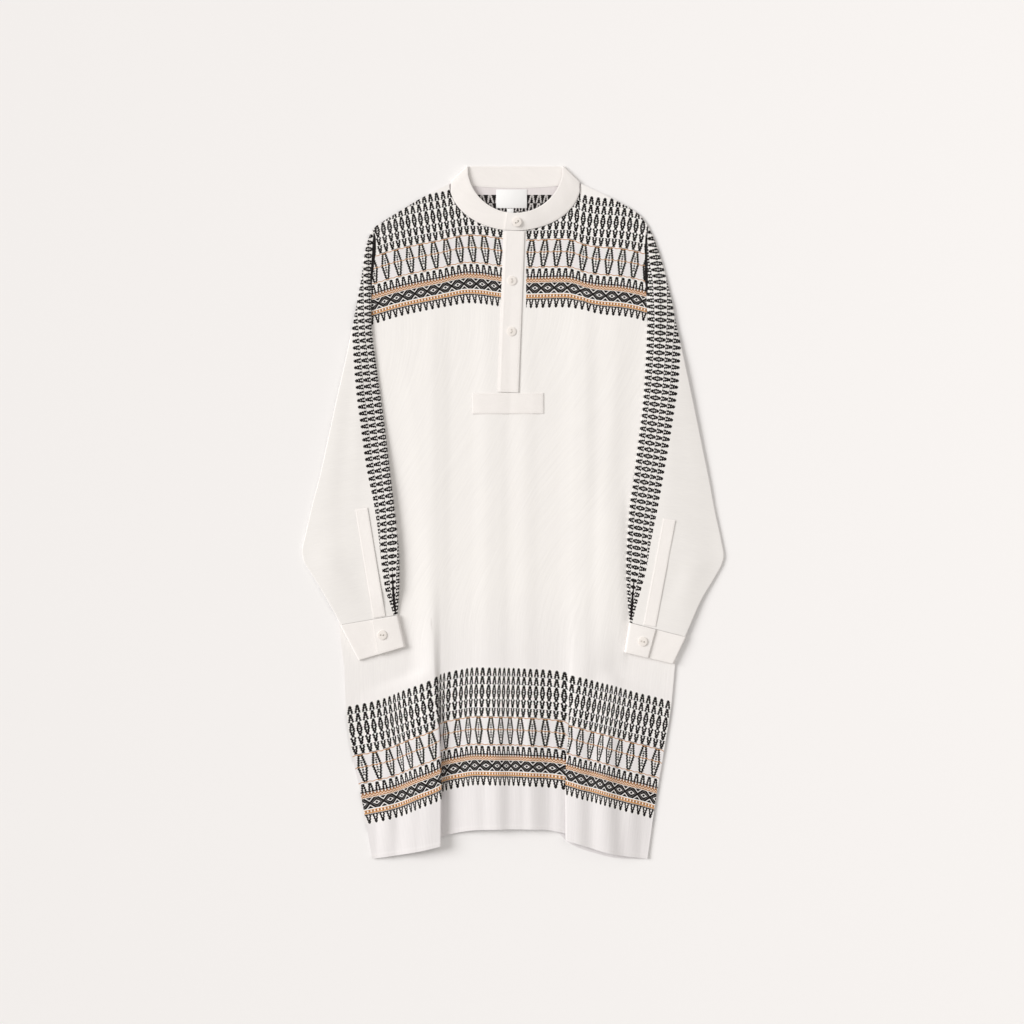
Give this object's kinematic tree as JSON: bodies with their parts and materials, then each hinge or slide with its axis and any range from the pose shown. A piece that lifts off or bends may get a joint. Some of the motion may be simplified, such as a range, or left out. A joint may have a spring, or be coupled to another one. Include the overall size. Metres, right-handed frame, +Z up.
{
  "type": "jacquard dress",
  "caption": "Long-sleeved tunic dress in pale cloth with woven geometric borders, stand collar, half placket and buttoned cuffs, laid flat on its back.",
  "frame": {"origin": "middle of the dress's outline, on the surface it lies on", "axes": "+X across the dress, +Y from the hem to the collar, +Z up from the surface"},
  "size_m": [0.5904, 0.9695, 0.0124],
  "materials": {
    "cloth": "thin crepe with woven borders",
    "band_cloth": "plain, doubled and opaque",
    "button": "satin, pearl-like",
    "label_tape": "woven tape, bare"
  },
  "bodies": {
    "root": {"back_panel": "cloth", "front_panel": "cloth", "sleeve_left": "cloth", "sleeve_right": "cloth", "collar": "band_cloth", "placket": "band_cloth", "placket_underlap": "band_cloth", "placket_crossbar": "band_cloth", "sleeve_placket_left": "band_cloth", "sleeve_placket_right": "band_cloth", "cuff_left": "band_cloth", "cuff_right": "band_cloth", "button_collar": "button", "button_front_upper": "button", "button_front_lower": "button", "button_cuff_left": "button", "button_cuff_right": "button", "label": "label_tape", "size_tag": "label_tape"}
  },
  "joints": []
}
